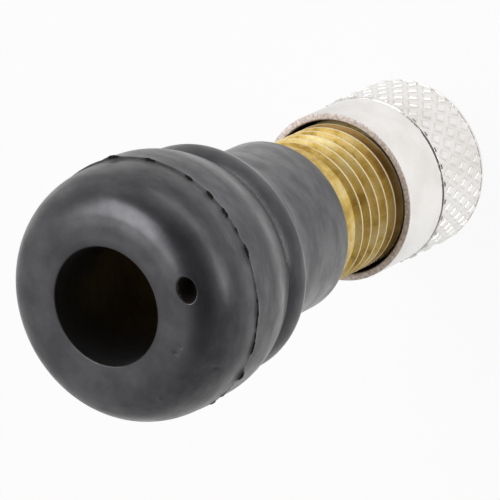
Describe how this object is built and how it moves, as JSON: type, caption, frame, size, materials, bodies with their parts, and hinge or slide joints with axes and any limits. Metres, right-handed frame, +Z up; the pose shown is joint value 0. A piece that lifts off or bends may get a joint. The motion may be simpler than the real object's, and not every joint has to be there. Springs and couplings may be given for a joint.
{
  "type": "snap-in tyre valve",
  "caption": "Rubber snap-in tyre valve with a threaded brass stem, a spring-loaded valve core and a knurled plated screw cap, standing on its cap.",
  "frame": {"origin": "middle of the cap's flat end, on which the valve stands", "axes": "+Z up the valve's axis, from the cap to the rubber base; -Y towards the mould-pin pit in the base"},
  "size_m": [0.013, 0.013, 0.0284],
  "materials": {
    "moulded_rubber": "matte",
    "turned_brass": "satin",
    "nickel_plate": "polished",
    "seal_rubber": "matte",
    "barrel_seal_rubber": "matte",
    "spring_steel": "satin"
  },
  "bodies": {
    "cap": {"valve_cap": "nickel_plate"},
    "seal": {"cap_seal": "seal_rubber"},
    "stem": {"rubber_body": "moulded_rubber", "brass_stem": "turned_brass", "core_plug": "turned_brass", "core_barrel": "turned_brass", "core_barrel_seal": "barrel_seal_rubber", "core_spring": "spring_steel"},
    "pin": {"core_pin": "turned_brass", "core_cup": "turned_brass", "core_cup_seal": "seal_rubber"}
  },
  "joints": [
    {"name": "cap_thread_turn", "type": "hinge", "parent": "cap", "child": "seal", "pos_m": [0, 0, 0.0018], "axis": [0, 0, 1], "range_deg": [0, 2700]},
    {"name": "cap_thread_travel", "type": "slide", "parent": "seal", "child": "stem", "axis": [0, 0, 1], "range_m": [0, 0.00595]},
    {"name": "pin_press", "type": "slide", "parent": "stem", "child": "pin", "axis": [0, 0, 1], "range_m": [0, 0.0015], "stiffness_N_per_m": 800, "springref_m": -0.003, "deforming": ["core_spring"]}
  ],
  "couplings": [
    {"joint": "cap_thread_turn", "follows": "cap_thread_travel", "rad_per_m": 7915.8}
  ]
}
